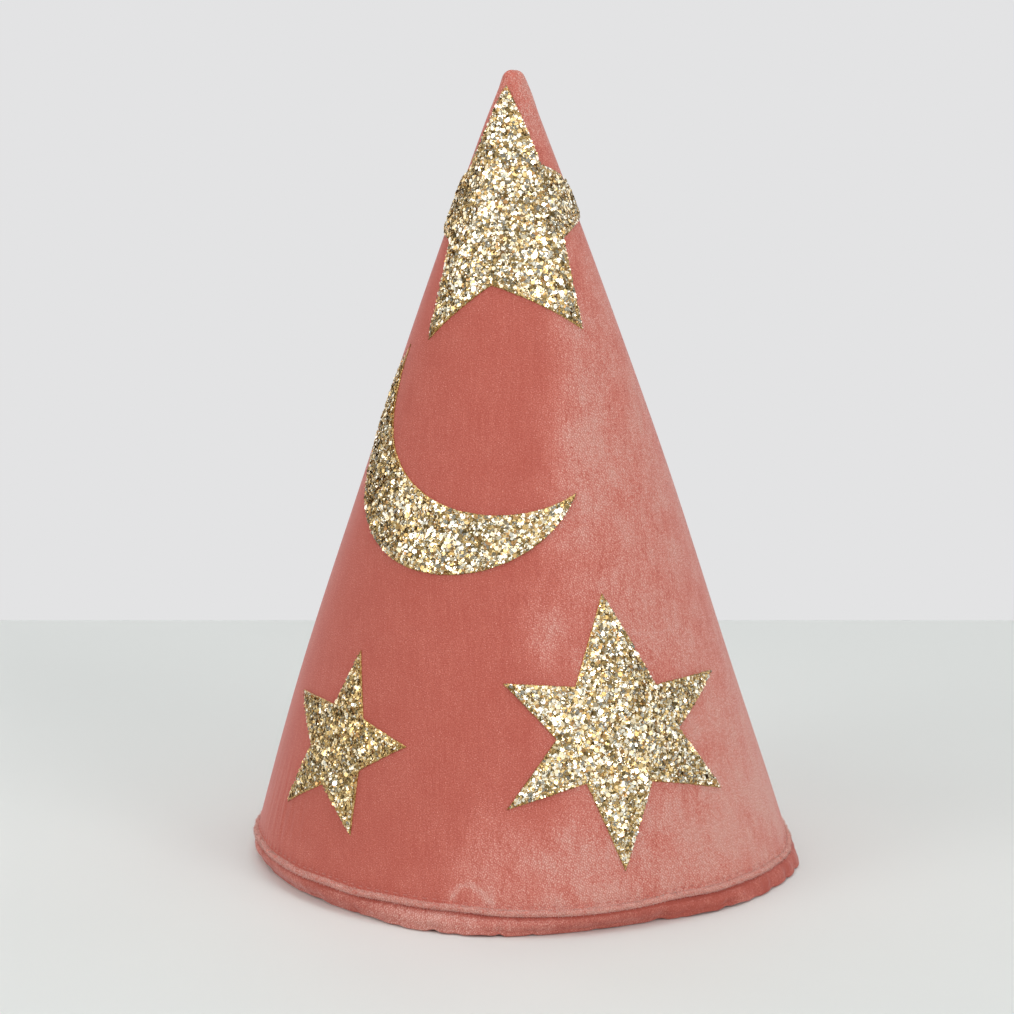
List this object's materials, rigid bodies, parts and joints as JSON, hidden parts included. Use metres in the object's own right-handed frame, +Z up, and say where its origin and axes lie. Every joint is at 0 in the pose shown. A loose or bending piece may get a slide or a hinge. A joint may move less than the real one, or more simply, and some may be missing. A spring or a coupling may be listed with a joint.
{
  "type": "velvet wizard party hat",
  "caption": "Tall padded cone-shaped velvet party hat with a blunt tip, glitter cloth star and crescent motifs and a bound, topstitched hem.",
  "frame": {"origin": "centre of the head opening, on the plane the hem rests on", "axes": "+Z up along the cone to the tip, -Y to the front of the hat, +X to the right of the hat as seen from the front"},
  "size_m": [0.1858, 0.1858, 0.2685],
  "materials": {
    "coral_velvet": "matt pile velvet",
    "wadding": "soft non-woven wadding",
    "stiffener": "stiff pressed board",
    "lining_cotton": "plain woven cotton",
    "gold_glitter": "metallic glitter coated cloth",
    "gold_thread": "twisted sewing thread",
    "coral_thread": "twisted sewing thread"
  },
  "bodies": {
    "root": {"velvet_shell": "coral_velvet", "hem_binding": "coral_velvet", "wadding_cone": "wadding", "stiffener_cone": "stiffener", "lining_cone": "lining_cotton", "top_star": "gold_glitter", "crescent_moon": "gold_glitter", "small_star": "gold_glitter", "six_point_star": "gold_glitter", "top_star_stitching": "gold_thread", "crescent_moon_stitching": "gold_thread", "small_star_stitching": "gold_thread", "six_point_star_stitching": "gold_thread", "hem_topstitching": "coral_thread", "binding_slipstitching": "coral_thread"}
  },
  "joints": []
}
